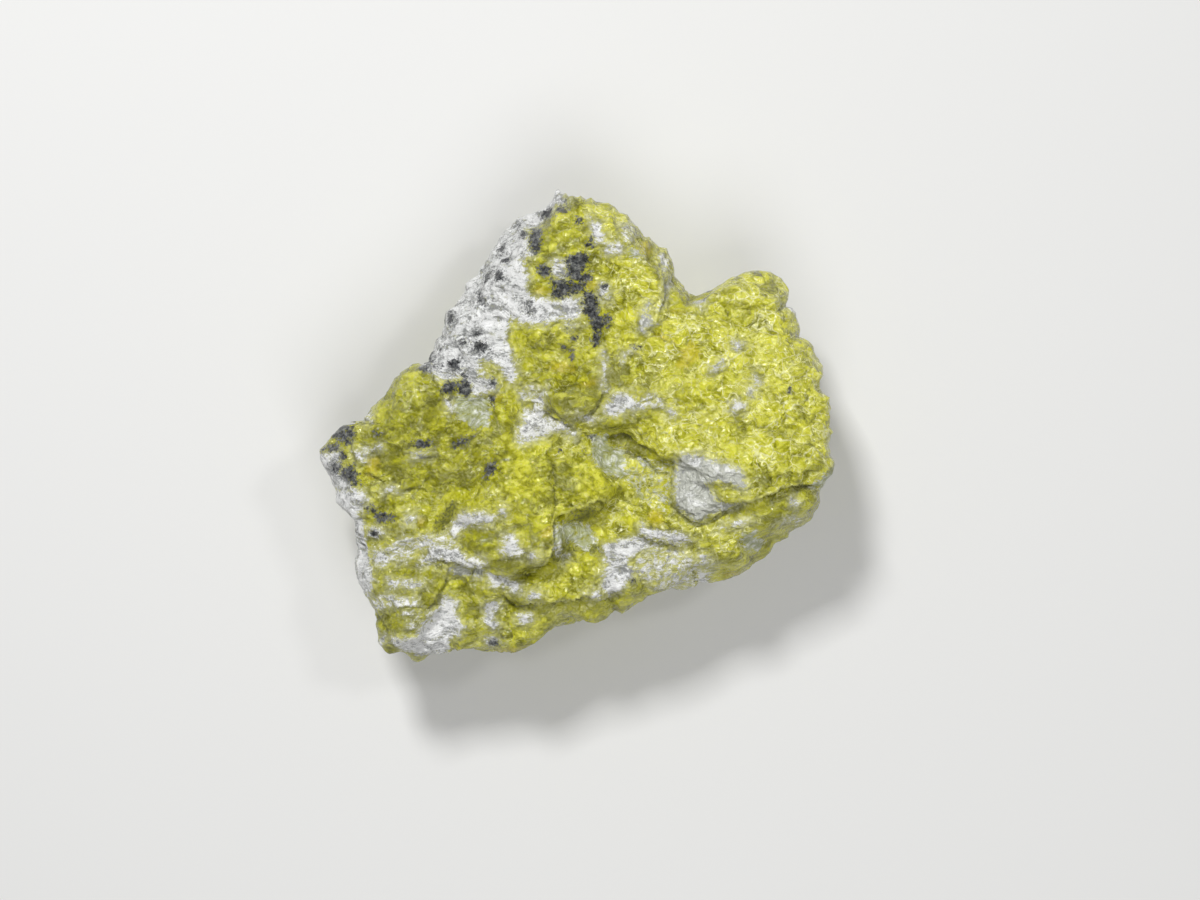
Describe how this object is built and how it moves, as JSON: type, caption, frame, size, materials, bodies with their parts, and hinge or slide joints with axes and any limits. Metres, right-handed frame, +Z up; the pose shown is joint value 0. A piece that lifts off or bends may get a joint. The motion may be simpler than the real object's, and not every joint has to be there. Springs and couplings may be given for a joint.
{
  "type": "rough lizardite stone",
  "caption": "Rough, fist-sized lump of yellow-green lizardite with stepped fracture faces, a rounded peak, a broad lobe and a flat side to lie on.",
  "frame": {"origin": "on the surface the stone rests on, under the middle of its plan", "axes": "+Z up, out of the best face; +X towards the broad lobe; +Y towards the peak"},
  "size_m": [0.1094, 0.0998, 0.0401],
  "materials": {
    "lizardite": "waxy broken stone"
  },
  "bodies": {
    "root": {"lizardite_stone": "lizardite"}
  },
  "joints": []
}
